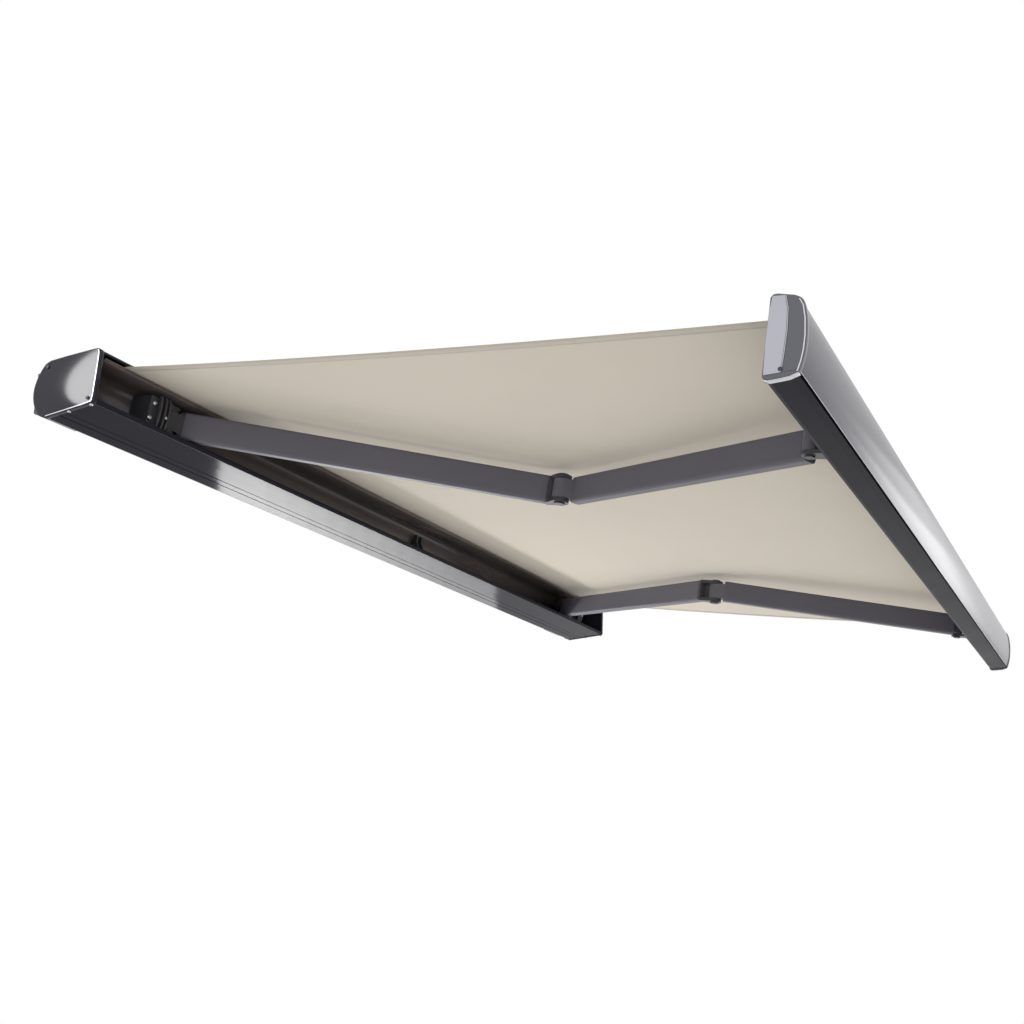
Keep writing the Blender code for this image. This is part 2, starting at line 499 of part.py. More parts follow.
start = (ROLL_OUT, ROLL_Z + FABRIC_ROLL_R + 0.0008)
lip = (SHOULDER_OUT + 0.050, 0.0618)
end = plane_to_oz(BAR_OUT - 0.0008, 0.0850)
path = [start]
steps = 10
for i in range(0, 3):
    t = (i + 1) / 3
    path.append((start[0] + (lip[0] - start[0]) * t, start[1] + (lip[1] - start[1]) * t))
SAG = 0.010
for i in range(1, steps + 1):
    t = i / steps
    path.append((lip[0] + (end[0] - lip[0]) * t, lip[1] + (end[1] - lip[1]) * t - SAG * 4 * t * (1 - t)))
x_sheet("awning_fabric", path, -FABRIC_HALF, FABRIC_HALF, FABRIC_T, FABRIC, inward=0.0)

for ob in PARTS.objects:
    if ob.type == 'MESH':
        ob.data.shade_smooth()
        ob.data.set_sharp_from_angle(angle=math.radians(35))
bpy.context.view_layer.update()
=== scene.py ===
import bpy
import bmesh
import json
import math
from mathutils import Matrix, Vector, noise

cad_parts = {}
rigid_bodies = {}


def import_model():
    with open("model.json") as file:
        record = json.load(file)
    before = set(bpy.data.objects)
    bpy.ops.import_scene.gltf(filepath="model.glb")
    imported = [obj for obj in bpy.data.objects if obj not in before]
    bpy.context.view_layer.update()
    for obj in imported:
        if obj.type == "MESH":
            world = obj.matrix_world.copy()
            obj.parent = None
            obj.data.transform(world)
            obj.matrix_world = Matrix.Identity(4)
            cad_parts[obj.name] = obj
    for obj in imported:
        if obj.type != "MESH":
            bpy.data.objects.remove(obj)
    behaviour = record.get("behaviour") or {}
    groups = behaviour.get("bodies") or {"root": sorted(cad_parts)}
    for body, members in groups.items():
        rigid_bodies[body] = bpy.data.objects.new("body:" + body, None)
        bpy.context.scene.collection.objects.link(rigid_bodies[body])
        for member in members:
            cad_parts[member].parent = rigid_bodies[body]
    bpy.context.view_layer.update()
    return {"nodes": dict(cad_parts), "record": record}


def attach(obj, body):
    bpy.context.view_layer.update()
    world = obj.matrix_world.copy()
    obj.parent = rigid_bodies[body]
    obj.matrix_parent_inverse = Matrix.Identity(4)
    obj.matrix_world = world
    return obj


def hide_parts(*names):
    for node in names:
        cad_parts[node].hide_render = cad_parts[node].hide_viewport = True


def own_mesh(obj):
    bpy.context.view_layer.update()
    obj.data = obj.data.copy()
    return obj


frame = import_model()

PITCH = math.radians(12)
CP, SP = math.cos(PITCH), math.sin(PITCH)
S_OUT = 0.185
N_DIR = Vector((0, -SP, CP))


def P(x, a, n):
    """Point in the arm plane: x along the awning, a outward along the fabric, n square to it."""
    return Vector((x, -(S_OUT + a * CP + n * SP), -a * SP + n * CP))


JOINTS = {j["name"]: j for j in frame["record"]["behaviour"]["joints"]}
HAND = Vector(JOINTS["hand_left"]["pos_m"])
HAND_OUT = (-HAND.y - S_OUT) * CP - HAND.z * SP
BAR_OUT = HAND_OUT + 0.0525
SH_X = abs(JOINTS["arm_fold"]["pos_m"][0])
HD_X = abs(HAND.x)
EL_X = abs(JOINTS["elbow_left"]["pos_m"][0])
ROLL = Vector(JOINTS["roller_spin"]["pos_m"])


# ------------------------------------------------------------------ materials
class NT:
    def __init__(self, name):
        self.m = bpy.data.materials.new(name)
        self.m.use_nodes = True
        self.t = self.m.node_tree
        self.b = self.t.nodes["Principled BSDF"]

    def new(self, kind, **kw):
        n = self.t.nodes.new(kind)
        for k, v in kw.items():
            setattr(n, k, v)
        return n

    def link(self, a, b):
        self.t.links.new(a, b)

    def noise(self, scale, detail=3, rough=0.5, coord=None):
        n = self.new("ShaderNodeTexNoise")
        n.inputs["Scale"].default_value = scale
        n.inputs["Detail"].default_value = detail
        n.inputs["Roughness"].default_value = rough
        self.link(coord if coord else self.obj(), n.inputs["Vector"])
        return n

    def obj(self):
        if not hasattr(self, "_o"):
            self._o = self.new("ShaderNodeTexCoord")
        return self._o.outputs["Object"]

    def ramp(self, fac, stops):
        r = self.new("ShaderNodeValToRGB")
        els = r.color_ramp.elements
        while len(els) < len(stops):
            els.new(0.5)
        for e, (p, c) in zip(els, stops):
            e.position = p
            e.color = (*c, 1) if len(c) == 3 else c
        self.link(fac, r.inputs["Fac"])
        return r

    def rng(self, fac, lo, hi, a=0.0, b=1.0):
        r = self.new("ShaderNodeMapRange")
        r.inputs["From Min"].default_value = a
        r.inputs["From Max"].default_value = b
        r.inputs["To Min"].default_value = lo
        r.inputs["To Max"].default_value = hi
        self.link(fac, r.inputs["Value"])
        return r

    def bump(self, height, strength, dist, prev=None):
        n = self.new("ShaderNodeBump")
        n.inputs["Strength"].default_value = strength
        n.inputs["Distance"].default_value = dist
        self.link(height, n.inputs["Height"])
        if prev:
            self.link(prev.outputs["Normal"], n.inputs["Normal"])
        self.link(n.outputs["Normal"], self.b.inputs["Normal"])
        return n


def coat(name, dark, light, rough=0.3, metal=0.0, grain=900, gs=0.12, gd=0.0002, coatw=0.0, spec=0.5, vary=0.02, mott=0.10):
    t = NT(name)
    big = t.noise(2.5, 2)
    fine = t.noise(grain, 2, 0.6)
    c = t.ramp(big.outputs["Fac"], [(0.3, dark), (0.7, light)])
    mix = t.new("ShaderNodeMixRGB", blend_type='OVERLAY')
    mix.inputs["Fac"].default_value = mott
    t.link(c.outputs["Color"], mix.inputs["Color1"])
    sp = t.ramp(fine.outputs["Fac"], [(0.35, (0.38, 0.38, 0.38)), (0.65, (0.62, 0.62, 0.62))])
    t.link(sp.outputs["Color"], mix.inputs["Color2"])
    t.link(mix.outputs["Color"], t.b.inputs["Base Color"])
    smear = t.noise(7, 3, 0.55)
    r = t.rng(smear.outputs["Fac"], rough - vary, rough + vary, 0.3, 0.7)
    t.link(r.outputs["Result"], t.b.inputs["Roughness"])
    t.b.inputs["Metallic"].default_value = metal
    t.b.inputs["Specular IOR Level"].default_value = spec
    t.b.inputs["Coat Weight"].default_value = coatw
    t.b.inputs["Coat Roughness"].default_value = 0.06
    t.bump(fine.outputs["Fac"], gs, gd)
    return t.m


M_CASE = coat("anthracite_coat", (0.017, 0.017, 0.024), (0.021, 0.021, 0.029), 0.11, 0.0, 1400, 0.02, 0.00004, 0.0, 0.02, 0.01)
M_CAP = coat("anthracite_gloss", (0.013, 0.013, 0.022), (0.017, 0.017, 0.028), 0.055, 0.0, 1400, 0.008, 0.00002, 0.0, 0.25, 0.005)
M_ARM = coat("arm_coat", (0.122, 0.118, 0.140), (0.134, 0.130, 0.153), 0.34, 0.0, 1400, 0.05, 0.0001, 0.0, 0.12)
M_CAST = coat("cast_coat", (0.036, 0.036, 0.042), (0.054, 0.054, 0.062), 0.36, 0.0, 420, 0.30, 0.0004, 0.0, 0.40, 0.04, 0.2)
M_FACE = coat("bar_coat", (0.066, 0.064, 0.082), (0.074, 0.072, 0.092), 0.20, 0.0, 1600, 0.0, 0.00002, 0.0, 0.26, 0.006, 0.04)
M_BARB = coat("bar_back_coat", (0.016, 0.0145, 0.020), (0.020, 0.018, 0.024), 0.34, 0.0, 1400, 0.05, 0.0001, 0.0, 0.03)
M_BCAP = coat("bar_cap_coat", (0.095, 0.094, 0.115), (0.110, 0.109, 0.132), 0.20, 0.0, 1400, 0.03, 0.0001, 0.2, 0.5)
# light facet of the bar cap: painted reflection
M_BCAP_REFLECT = coat("bar_cap_painted_reflection", (0.42, 0.42, 0.48), (0.48, 0.48, 0.54), 0.18, 0.1, 1400, 0.02, 0.00005, 0.3, 0.5)
# white edge lines in this material are painted highlights
M_HIGHLIGHT = coat("painted_highlight", (0.62, 0.62, 0.68), (0.70, 0.70, 0.75), 0.18, 0.3, 1200, 0.03, 0.0001, 0.3, 0.5)
# dark brown of the mouth: painted shade and painted reflection of the fabric
M_MOUTH_SHADE = coat("mouth_painted_shade", (0.085, 0.070, 0.066), (0.110, 0.090, 0.086), 0.24, 0.0, 900, 0.0, 0.0001, 0.0, 0.45)
# near-black sheets set in gaps and grooves: painted shade
M_GAP_SHADE = coat("painted_gap_shadow", (0.002, 0.002, 0.002), (0.003, 0.003, 0.003), 0.6, 0.0, 300, 0.1, 0.0002, 0.0, 0.02)
M_GOLD = coat("guide_gold_brown", (0.16, 0.11, 0.06), (0.22, 0.155, 0.09), 0.35, 0.2, 900, 0.08, 0.0001)
M_PLAST = coat("black_plastic", (0.010, 0.010, 0.011), (0.016, 0.016, 0.017), 0.42, 0.0, 300, 0.25, 0.0003, 0.0, 0.3)
M_ALU = coat("mill_aluminium", (0.45, 0.45, 0.46), (0.58, 0.58, 0.60), 0.34, 1.0, 700, 0.10, 0.0002)


def steel():
    t = NT("zinc_steel")
    n = t.noise(60, 5, 0.7)
    c = t.ramp(n.outputs["Fac"], [(0.3, (0.50, 0.50, 0.50)), (0.55, (0.66, 0.66, 0.65)), (0.75, (0.58, 0.57, 0.54))])
    t.link(c.outputs["Color"], t.b.inputs["Base Color"])
    r = t.rng(n.outputs["Fac"], 0.18, 0.36, 0.3, 0.7)
    t.link(r.outputs["Result"], t.b.inputs["Roughness"])
    t.b.inputs["Metallic"].default_value = 1.0
    t.bump(t.noise(500, 2).outputs["Fac"], 0.08, 0.0002)
    return t.m


M_STEEL = steel()


def fabric(name, dark, light, glow=0.0):
    t = NT(name)
    mp = t.new("ShaderNodeMapping")
    mp.inputs["Rotation"].default_value = (-PITCH, 0, 0)
    t.link(t.obj(), mp.inputs["Vector"])
    sep = t.new("ShaderNodeSeparateXYZ")
    t.link(mp.outputs["Vector"], sep.inputs["Vector"])

    def wave(sock, period):
        m = t.new("ShaderNodeMath", operation='MULTIPLY')
        m.inputs[1].default_value = 2 * math.pi / period
        t.link(sock, m.inputs[0])
        s = t.new("ShaderNodeMath", operation='SINE')
        t.link(m.outputs[0], s.inputs[0])
        return s.outputs[0]
    wx, wy = wave(sep.outputs["X"], 0.0016), wave(sep.outputs["Y"], 0.0016)
    mul = t.new("ShaderNodeMath", operation='MULTIPLY')
    t.link(wx, mul.inputs[0])
    t.link(wy, mul.inputs[1])
    slub = t.noise(260, 3, 0.7)
    add = t.new("ShaderNodeMath", operation='ADD')
    t.link(mul.outputs[0], add.inputs[0])
    t.link(slub.outputs["Fac"], add.inputs[1])
    cloud = t.noise(2.2, 4, 0.55)
    c = t.ramp(cloud.outputs["Fac"], [(0.30, dark), (0.70, light)])
    mix = t.new("ShaderNodeMixRGB", blend_type='MULTIPLY')
    mix.inputs["Fac"].default_value = 0.22
    t.link(c.outputs["Color"], mix.inputs["Color1"])
    wc = t.ramp(add.outputs[0], [(0.0, (0.72, 0.72, 0.70)), (1.0, (1.0, 1.0, 1.0))])
    t.link(wc.outputs["Color"], mix.inputs["Color2"])
    t.link(mix.outputs["Color"], t.b.inputs["Base Color"])
    t.b.inputs["Roughness"].default_value = 0.88
    t.b.inputs["Specular IOR Level"].default_value = 0.25
    t.b.inputs["Sheen Weight"].default_value = 0.25
    t.b.inputs["Sheen Roughness"].default_value = 0.5
    t.bump(add.outputs[0], 0.35, 0.0003)
    return t.m


M_FABRIC = fabric("beige_canvas", (0.660, 0.600, 0.500), (0.685, 0.624, 0.522))
M_HEM = fabric("beige_canvas_hem", (0.585, 0.532, 0.443), (0.605, 0.551, 0.460))

ASSIGN = {}
for n in frame["nodes"]:
    if n.startswith("end_cap"):
        m = M_CAP
    elif n.startswith("bar_cap"):
        m = M_BCAP
    elif n == "front_bar_back":
        m = M_BARB
    elif n.startswith(("elbow_pin", "hand_pin", "hand_bracket", "bar_screw", "cap_screw")):
        m = M_CAST
    elif n.startswith(("elbow_knuckle", "hand_joint")):
        m = M_ARM
    elif n.startswith(("upper_arm", "forearm")):
        m = M_ARM
    elif n == "front_bar_profile":
        m = M_FACE
    elif "screw" in n or "pin_" in n or n.startswith("tension") or n == "tubular_motor":
        m = M_STEEL
    elif n in ("motor_head", "idler_plug", "drive_wheel", "roller_crown", "fabric_welt_rod") or n.startswith("arm_rest"):
        m = M_PLAST
    elif n.startswith(("bearing", "wall_bracket", "bracket_clamp", "shoulder_", "elbow_", "hand_")):
        m = M_CAST
    elif n == "roller_tube":
        m = M_ALU
    elif n in ("awning_fabric", "wound_fabric"):
        m = M_FABRIC
    else:
        m = M_CASE
    ASSIGN[n] = m
for n, ob in frame["nodes"].items():
    ob.data.materials.clear()
    ob.data.materials.append(ASSIGN[n])
    if n.startswith("end_cap"):
        ob.data.set_sharp_from_angle(angle=math.radians(12))


# ------------------------------------------------------------------ mesh helpers
def obj(name, bm, mat, body, smooth=35, mods=()):
    me = bpy.data.meshes.new(name)
    bmesh.ops.recalc_face_normals(bm, faces=bm.faces)
    bm.to_mesh(me)
    bm.free()
    ob = bpy.data.objects.new(name, me)
    bpy.context.scene.collection.objects.link(ob)
    me.materials.append(mat)
    me.shade_smooth()
    me.set_sharp_from_angle(angle=math.radians(smooth))
    for kind, kw in mods:
        md = ob.modifiers.new(kind.lower(), kind)
        for k, v in kw.items():
            setattr(md, k, v)
    if body:
        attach(ob, body)
    return ob


def cyl(r, z0, z1, mat4, n=24, r2=None, into=None):
    bm = into or bmesh.new()
    g = bmesh.ops.create_cone(bm, cap_ends=True, segments=n, radius1=r, radius2=r if r2 is None else r2, depth=z1 - z0)
    bmesh.ops.transform(bm, matrix=mat4 @ Matrix.Translation((0, 0, (z0 + z1) / 2)), verts=g["verts"])
    return bm


def sheet_x(name, pts, x0, x1, mat, body, t, nx=2, smooth=40):
    """Path of world (y, z) points run along X and thickened about its middle."""
    bm = bmesh.new()
    rows = []
    for i in range(nx):
        x = x0 + (x1 - x0) * i / (nx - 1)
        rows.append([bm.verts.new((x, y, z)) for y, z in pts])
    for i in range(nx - 1):
        for j in range(len(pts) - 1):
            bm.faces.new((rows[i][j], rows[i + 1][j], rows[i + 1][j + 1], rows[i][j + 1]))
    return obj(name, bm, mat, body, smooth, [("SOLIDIFY", dict(thickness=t, offset=0.0, use_even_offset=True))])


# ------------------------------------------------------------------ fabric
FH = 1.413
FR = 0.0415
start = (-ROLL.y, ROLL.z + FR + 0.0008)
lip = (S_OUT + 0.050, 0.0618)
endp = P(0, BAR_OUT - 0.0008, 0.0850)
end = (-endp.y, endp.z)
SAG = 0.010


def fabric_point(t, u):
    """t from 0 at the roller to 1 at the bar, u from -1 to 1 across. Gives (out, height)."""
    s0 = 0.085
    if t < s0:
        q = t / s0
        return (start[0] + (lip[0] - start[0]) * q, start[1] + (lip[1] - start[1]) * q)
    q = (t - s0) / (1 - s0)
    w = 4 * q * (1 - q)
    z = lip[1] + (end[1] - lip[1]) * q - SAG * w
    z -= 0.006 * w * (1 - u * u)
    z += 0.0010 * w * noise.noise(Vector((u * 1.6, q * 2.4, 3.1)))
    return (lip[0] + (end[0] - lip[0]) * q, z)


NU, NV = 110, 90
bm = bmesh.new()
grid = []
for i in range(NU + 1):
    u = -1 + 2 * i / NU
    row = []
    for j in range(NV + 1):
        t = j / NV
        o, z = fabric_point(t, u)
        row.append(bm.verts.new((u * FH, -o, z)))
    grid.append(row)
for i in range(NU):
    for j in range(NV):
        bm.faces.new((grid[i][j], grid[i][j + 1], grid[i + 1][j + 1], grid[i + 1][j]))
canvas = obj("canvas_cover", bm, M_FABRIC, None, 60, [("SOLIDIFY", dict(thickness=0.0006, offset=0.0))])
for j in range(NV + 1):
    o, z = fabric_point(j / NV, 0.0)
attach(canvas, "casing")
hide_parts("awning_fabric")


def strip(name, x0, x1, drop, mat, t0=0.03, t1=0.998, nx=3, thick=0.0006):
    b = bmesh.new()
    rows = []
    for i in range(nx):
        x = x0 + (x1 - x0) * i / (nx - 1)
        rows.append([])
        for j in range(NV + 1):
            t = t0 + (t1 - t0) * j / NV
            o, z = fabric_point(t, x / FH)
            rows[-1].append(b.verts.new((x, -o, z - drop)))
    for i in range(nx - 1):
        for j in range(NV):
            b.faces.new((rows[i][j], rows[i][j + 1], rows[i + 1][j + 1], rows[i + 1][j]))
    ob = obj(name, b, mat, "casing", 60, [("SOLIDIFY", dict(thickness=thick, offset=0.0))])
    return ob


hems = [strip("fabric_hem_left", -FH + 0.0005, -FH + 0.026, 0.0009, M_HEM),
        strip("fabric_hem_right", FH - 0.026, FH - 0.0005, 0.0009, M_HEM)]
for ob in [canvas] + hems:
    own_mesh(ob)

# ------------------------------------------------------------------ mouth of the cassette
XB = 1.4855
liner = [(0.2338, 0.0562), (0.2315, 0.0530), (0.2200, 0.0512), (0.2000, 0.0520), (0.1800, 0.0562), (0.1620, 0.0610), (0.1500, 0.0622),
         (0.1400, 0.0590), (0.1345, 0.0520), (0.1320, 0.0430), (0.1316, 0.0340), (0.1305, 0.0200), (0.1270, 0.0080), (0.1235, -0.0050),
         (0.1200, -0.0200), (0.1160, -0.0360), (0.1120, -0.0470)]
# inner profile of the mouth, dark interior tinted brown by painted shade and a painted reflection of the fabric
sheet_x("mouth_shaded_liner", [(-o, z) for o, z in liner], -1.478, 1.478, M_MOUTH_SHADE, "casing", 0.0012, smooth=60)
# gold-brown line along the edge of the fabric guide
sheet_x("mouth_guide_strip", [(-0.2372, 0.0580), (-0.2350, 0.0560)], -1.478, 1.478, M_GOLD, "casing", 0.0010)
# lower lip channel and drip groove lines on the cassette floor; the black floor groove strip is painted shade
for nm, o, z, wd, m in (("lip_groove", 0.0405, -0.0647, 0.0022, M_PLAST), ("floor_groove", -0.0830, -0.0663, 0.0016, M_GAP_SHADE), ("floor_rib", -0.0600, -0.0661, 0.0030, M_CASE)):
    b = bmesh.new()
    bmesh.ops.create_cube(b, size=1)
    for v in b.verts:
        v.co = Vector((v.co.x * 2 * XB, -(S_OUT + o) + v.co.y * wd, z + v.co.z * 0.0010))
    obj(nm, b, m, "casing", 30, [("BEVEL", dict(width=0.0003, segments=2))])
# lip seal of the hood and gold-grey edge of the fabric guide
sheet_x("hood_lip_seal", [(-(S_OUT + 0.0530), 0.0655), (-(S_OUT + 0.0536), 0.0690)], -XB, XB, M_PLAST, "casing", 0.0010)

# ribs of the middle support seen in the open mouth
for i, x in enumerate((0.062, 0.092)):
    b = bmesh.new()
    pts = [(0.1220, -0.0560), (0.1260, -0.0300), (0.1320, 0.0050), (0.1370, 0.0330), (0.1430, 0.0400), (0.1500, 0.0380), (0.1540, 0.0300), (0.1500, 0.0120),
           (0.1560, -0.0100), (0.1700, -0.0360), (0.1900, -0.0560)]
    vs = [b.verts.new((x - 0.005, -o, z)) for o, z in pts]
    f = b.faces.new(vs)
    g = bmesh.ops.extrude_face_region(b, geom=[f])
    bmesh.ops.translate(b, vec=(0.010, 0, 0), verts=[v for v in g["geom"] if isinstance(v, bmesh.types.BMVert)])
    obj("support_rib_%d" % i, b, M_CAST, "casing", 30, [("BEVEL", dict(width=0.0015, segments=2, limit_method='ANGLE'))])


# ------------------------------------------------------------------ fasteners and painted highlight strips
def hexbolt(name, mat4, r, h, body, mat=None):
    b = cyl(r, 0, h, mat4, 6)
    cyl(r * 0.55, h - 0.0002, h + 0.0022, mat4, 16, into=b)
    return obj(name, b, mat or M_STEEL, body, 30, [("BEVEL", dict(width=0.0005, segments=2, limit_method='ANGLE'))])


def dome(name, mat4, r, h, body, mat=None):
    """Button head with a socket."""
    b = bmesh.new()
    prof = [(0.0, 0.0), (r, 0.0), (r, h * 0.25), (r * 0.86, h * 0.70), (r * 0.58, h), (r * 0.40, h), (r * 0.36, h * 0.45), (0.0, h * 0.45)]
    n = 20
    rings = []
    for pr, pz in prof:
        if pr == 0:
            rings.append([b.verts.new(mat4 @ Vector((0, 0, pz)))])
        else:
            rings.append([b.verts.new(mat4 @ Vector((pr * math.cos(2 * math.pi * i / n), pr * math.sin(2 * math.pi * i / n), pz))) for i in range(n)])
    for q in range(len(rings) - 1):
        A, B = rings[q], rings[q + 1]
        for i in range(n):
            k = (i + 1) % n
            if len(A) == 1:
                b.faces.new((A[0], B[k], B[i]))
            elif len(B) == 1:
                b.faces.new((A[i], A[k], B[0]))
            else:
                b.faces.new((A[i], A[k], B[k], B[i]))
    return obj(name, b, mat or M_STEEL, body, 40)


PM = Matrix.Rotation(PITCH, 4, 'X')
for side, s in (("left", -1), ("right", 1)):
    # bolts that hold the shoulder bracket, seen beside it in the mouth
    for i, (dx, n) in enumerate(((0.078, 0.020), (0.086, -0.022))):
        q = P(0, 0.0322, n)
        dome("shoulder_bolt_%s_%d" % (side, i), Matrix.Translation((s * (SH_X + dx), q.y, q.z)) @ PM @ Matrix.Rotation(math.pi / 2, 4, 'X'),
             0.0075, 0.0060, "casing")
    # curved ribs on the front of the shoulder bracket
    for i, dx in enumerate((0.0365, 0.0500, 0.0660)):
        rib = [(0.0350, 0.0480), (0.0440, 0.0430), (0.0495, 0.0300), (0.0515, 0.0100), (0.0515, -0.0100), (0.0490, -0.0300), (0.0430, -0.0440), (0.0340, -0.0500),
               (0.0330, -0.0446), (0.0404, -0.0440), (0.0404, 0.0440), (0.0340, 0.0446)]
        b = bmesh.new()
        vs = [b.verts.new(P(s * (SH_X + dx), a, n)) for a, n in rib]
        f = b.faces.new(vs)
        g = bmesh.ops.extrude_face_region(b, geom=[f])
        bmesh.ops.translate(b, vec=(s * 0.0050, 0, 0), verts=[v for v in g["geom"] if isinstance(v, bmesh.types.BMVert)])
        obj("shoulder_rib_%s_%d" % (side, i), b, M_CAST, "casing", 30, [("BEVEL", dict(width=0.0012, segments=2, limit_method='ANGLE'))])
    # bright grub screw in the bracket beside the pivot
    q = P(0, 0.0518, -0.012)
    hexbolt("shoulder_adjuster_" + side, Matrix.Translation((s * (SH_X + 0.0525), q.y, q.z)) @ PM @ Matrix.Rotation(math.pi / 2, 4, 'X'), 0.0042, 0.0060, "casing")
    # painted highlight as a bright edge that runs round the front of the end cap
    edge = [(0.0520, 0.0735), (0.0552, 0.0650), (0.0545, 0.0480), (0.0533, 0.0300), (0.0520, 0.0120), (0.0506, -0.0050), (0.0490, -0.0250), (0.0472, -0.0460), (0.0445, -0.0620)]
    b = bmesh.new()
    vs = [b.verts.new((s * 1.5001, -(S_OUT + o), z)) for o, z in edge] + [b.verts.new((s * 1.5001, -(S_OUT + o - 0.0032), z)) for o, z in edge[::-1]]
    f = b.faces.new(vs)
    g = bmesh.ops.extrude_face_region(b, geom=[f])
    bmesh.ops.translate(b, vec=(s * 0.0010, 0, 0), verts=[v for v in g["geom"] if isinstance(v, bmesh.types.BMVert)])
    obj("cap_edge_" + side, b, M_HIGHLIGHT, "casing", 30, [("BEVEL", dict(width=0.0003, segments=2, limit_method='ANGLE'))])
    # painted highlight along the lower edge of the end cap
    b = bmesh.new()
    low = [(0.0430, -0.0645), (0.0100, -0.0658), (-0.0400, -0.0663), (-0.1150, -0.0668)]
    vs = [b.verts.new((s * 1.5001, -(S_OUT + o), z)) for o, z in low] + [b.verts.new((s * 1.5001, -(S_OUT + o), z + 0.0022)) for o, z in low[::-1]]
    f = b.faces.new(vs)
    g = bmesh.ops.extrude_face_region(b, geom=[f])
    bmesh.ops.translate(b, vec=(s * 0.0008, 0, 0), verts=[v for v in g["geom"] if isinstance(v, bmesh.types.BMVert)])
    obj("cap_sill_" + side, b, M_HIGHLIGHT, "casing", 30)
    for i, o in enumerate((0.146, 0.222)):
        dome("cap_button_%s_%d" % (side, i), Matrix.Translation((s * 1.4935, -o, -0.0688)) @ Matrix.Rotation(math.pi, 4, 'X'), 0.0048, 0.0030, "casing")

# light facet painted as a reflection, dark facet in the cap's own coat, and painted highlights on the edges of the
# front bar end caps, outlines in (a from the back of the bar, n)
light = [(0.0015, -0.0600), (-0.0005, 0.0000), (0.0000, 0.0600), (0.0030, 0.0850), (0.0250, 0.0850), (0.0310, 0.0600), (0.0330, 0.0200), (0.0320, -0.0200), (0.0300, -0.0560)]
dark = [(0.0325, -0.0545), (0.0345, -0.0200), (0.0355, 0.0200), (0.0335, 0.0600), (0.0280, 0.0835), (0.0400, 0.0820), (0.0510, 0.0760), (0.0580, 0.0640),
        (0.0632, 0.0400), (0.0658, 0.0100), (0.0655, -0.0150), (0.0630, -0.0350), (0.0590, -0.0520)]
for side, s in (("left", -1), ("right", 1)):
    for nm, pts, m, t in (("light", light, M_BCAP_REFLECT, 0.0016), ("dark", dark, M_BCAP, 0.0008)):
        b = bmesh.new()
        vs = [b.verts.new(P(s * 1.5050, BAR_OUT + a, n)) for a, n in pts]
        f = b.faces.new(vs)
        g = bmesh.ops.extrude_face_region(b, geom=[f])
        bmesh.ops.translate(b, vec=(s * t, 0, 0), verts=[v for v in g["geom"] if isinstance(v, bmesh.types.BMVert)])
        obj("bar_cap_facet_%s_%s" % (nm, side), b, m, "front_bar", 30, [("BEVEL", dict(width=0.0006, segments=2, limit_method='ANGLE'))])
    # painted highlight along the lower edge of the bar end cap
    low = [(0.0000, -0.0672), (0.0100, -0.0693), (0.0300, -0.0660), (0.0460, -0.0628), (0.0615, -0.0556)]
    x0, x1 = sorted((s * 1.5052, s * 1.4915))
    sheet_x("bar_cap_edge_" + side, [(P(0, BAR_OUT + a, n - 0.0005).y, P(0, BAR_OUT + a, n - 0.0005).z) for a, n in low], x0, x1, M_HIGHLIGHT, "front_bar", 0.0008)
# painted highlights as bright rims on the facets
def band(name, pts, w, x, t, mat, body):
    """Flat band along a path in (a from the back of the bar, n), w wide towards the back."""
    b = bmesh.new()
    vs = [b.verts.new(P(x, BAR_OUT + a, n)) for a, n in pts] + [b.verts.new(P(x, BAR_OUT + a - w, n)) for a, n in pts[::-1]]
    f = b.faces.new(vs)
    g = bmesh.ops.extrude_face_region(b, geom=[f])
    bmesh.ops.translate(b, vec=(t, 0, 0), verts=[v for v in g["geom"] if isinstance(v, bmesh.types.BMVert)])
    return obj(name, b, mat, body, 30)


for side, s in (("left", -1), ("right", 1)):
    band("bar_cap_rim_" + side, [(0.0510, 0.0772), (0.0585, 0.0650), (0.0640, 0.0405), (0.0668, 0.0100), (0.0666, -0.0155), (0.0641, -0.0360), (0.0598, -0.0545)],
         0.0020, s * 1.5051, s * 0.0012, M_HIGHLIGHT, "front_bar")
    band("bar_cap_crease_" + side, [(0.0272, 0.0840), (0.0330, 0.0600), (0.0350, 0.0200), (0.0340, -0.0200), (0.0320, -0.0550)], 0.0009, s * 1.5052, s * 0.0018, M_HIGHLIGHT, "front_bar")
# black sheet in the gap between face and lower strip: painted shadow
gap = [(0.0608, -0.0520), (0.0606, -0.0542), (0.0594, -0.0566)]
sheet_x("bar_shadow_gap", [(P(0, BAR_OUT + a, n).y, P(0, BAR_OUT + a, n).z) for a, n in gap], -1.4900, 1.4900, M_GAP_SHADE, "front_bar", 0.0010)
# painted highlight as a white lower edge line of the face
edge = [(0.0607, -0.0500), (0.0600, -0.0518)]
sheet_x("bar_face_edge", [(P(0, BAR_OUT + a, n).y, P(0, BAR_OUT + a, n).z) for a, n in edge], -1.4900, 1.4900, M_HIGHLIGHT, "front_bar", 0.0010)

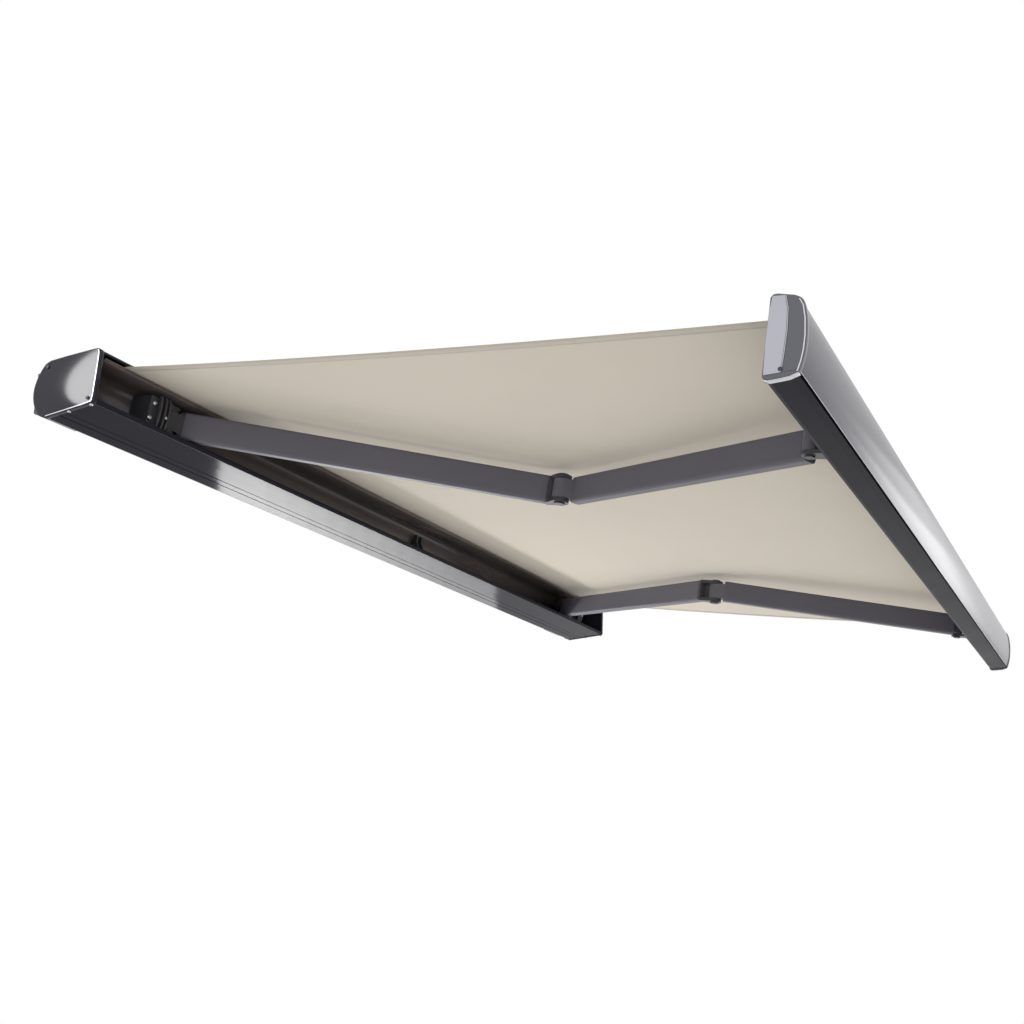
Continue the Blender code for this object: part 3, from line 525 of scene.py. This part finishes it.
# dark curved backs inside the elbow forks
A0 = math.radians(56.8)
for side, s in (("left", -1), ("right", 1)):
    k = 1 if s < 0 else -1
    F = Matrix.Translation(P(s * SH_X, 0, 0)) @ PM @ Matrix.Rotation(-A0 if s < 0 else math.pi + A0, 4, 'Z') @ Matrix.Translation((1.066, 0, 0))
    pts = [(0.0257 * math.cos(math.radians(d)), 0.0257 * math.sin(math.radians(d))) for d in (148, 140, 130, 120, 108)]
    pts += [(-0.0079, 0.0275), (-0.0252, 0.0300), (-0.0254, 0.0137)]
    b = bmesh.new()
    vs = [b.verts.new((x, k * y, -0.0250)) for x, y in pts]
    f = b.faces.new(vs)
    g = bmesh.ops.extrude_face_region(b, geom=[f])
    bmesh.ops.translate(b, vec=(0, 0, 0.0500), verts=[v for v in g["geom"] if isinstance(v, bmesh.types.BMVert)])
    bmesh.ops.transform(b, matrix=F, verts=b.verts)
    obj("elbow_back_" + side, b, M_CAST, "upper_" + side, 30)

# ------------------------------------------------------------------ stage, lights, camera
bm = bmesh.new()
bmesh.ops.create_grid(bm, x_segments=1, y_segments=1, size=5.5)
floor = bpy.data.meshes.new("floor")
bm.to_mesh(floor)
bm.free()
floor = bpy.data.objects.new("floor", floor)
floor.location = (0, 0, -2.6)
bpy.context.scene.collection.objects.link(floor)
fm = NT("floor_paint")
fn = fm.noise(1.2, 3)
fc = fm.ramp(fn.outputs["Fac"], [(0.3, (0.80, 0.80, 0.80)), (0.7, (0.83, 0.83, 0.83))])
fm.link(fc.outputs["Color"], fm.b.inputs["Base Color"])
fm.b.inputs["Roughness"].default_value = 0.7
floor.data.materials.append(fm.m)


def area(name, loc, target, size, power, color=(1, 1, 1), size_y=None):
    l = bpy.data.lights.new(name, 'AREA')
    l.energy = power
    l.color = color
    l.shape = 'RECTANGLE' if size_y else 'SQUARE'
    l.size = size
    if size_y:
        l.size_y = size_y
    ob = bpy.data.objects.new(name, l)
    ob.location = loc
    d = Vector(target) - Vector(loc)
    ob.rotation_euler = d.to_track_quat('-Z', 'Y').to_euler()
    bpy.context.scene.collection.objects.link(ob)
    return ob


w = bpy.data.worlds.new("studio")
w.use_nodes = True
w.node_tree.nodes["Background"].inputs["Color"].default_value = (1, 1, 1, 1)
w.node_tree.nodes["Background"].inputs["Strength"].default_value = 1.0
bpy.context.scene.world = w


# the panels light the awning, not the floor
lit = bpy.data.collections.new("lit_by_panels")
for o in bpy.context.scene.objects:
    if o.type in {'MESH', 'CURVE'} and o != floor:
        lit.objects.link(o)


def panel(name, loc, rot, sx, sy, radiance, shape='RECTANGLE'):
    """Soft light panel of a given brightness, not seen directly."""
    l = bpy.data.lights.new(name, 'AREA')
    l.shape = shape
    l.size, l.size_y = sx, sy
    l.energy = radiance * 4 * sx * sy * (math.pi / 4 if shape == 'ELLIPSE' else 1)
    ob = bpy.data.objects.new(name, l)
    ob.location = loc
    ob.rotation_euler = rot
    ob.visible_camera = False
    ob.light_linking.receiver_collection = lit
    bpy.context.scene.collection.objects.link(ob)
    return ob


# behind the awning, mirrored in the cassette floor
BAND = (15.0, 11.5, 8.0, 5.6, 4.0, 3.0)
NB = 16
for i in range(NB):
    u = (i + 0.5) / NB
    t = min(max(u * 6 - 0.5, 0.0), 5.0)
    q = min(int(t), 4)
    g = BAND[q] + (BAND[q + 1] - BAND[q]) * (t - q)
    w = 2.48 / NB
    panel("floor_band_%d" % i, (0.278 + w * (i + 0.5), 1.0, -0.73), (-math.pi / 2, 0, 0), w, 0.24, g)
# left of the end cap, mirrored in it
panel("cap_glow", (-2.5, 0.90, 0.715), (0, -math.pi / 2, 0), 0.24, 0.40, 9.5, 'ELLIPSE')
# right of the front bar, mirrored in its face
panel("bar_glow", (3.6, -3.18, 0.02), (0, math.pi / 2, 0), 0.9, 1.0, 1.9)
panel("bar_glow_high", (3.6, -3.05, 0.75), (0, math.pi / 2, 0), 0.55, 0.9, 0.7)
# broad light from below the camera
panel("under", (-1.6, -3.6, -2.3), (math.radians(28), math.radians(-14), 0), 2.6, 2.2, 1.3)

cam = bpy.data.cameras.new("camera")
cam.sensor_width = 36
cam.lens = 40.295
co = bpy.data.objects.new("camera", cam)
co.matrix_world = Matrix(((0.47555, -0.27701, -0.83494, -3.2485), (-0.87923, -0.18012, -0.44102, -2.2878),
                          (-0.02822, 0.94383, -0.32921, -1.2532), (0, 0, 0, 1)))
bpy.context.scene.collection.objects.link(co)
bpy.context.scene.camera = co
bpy.context.scene.view_settings.view_transform = 'Standard'
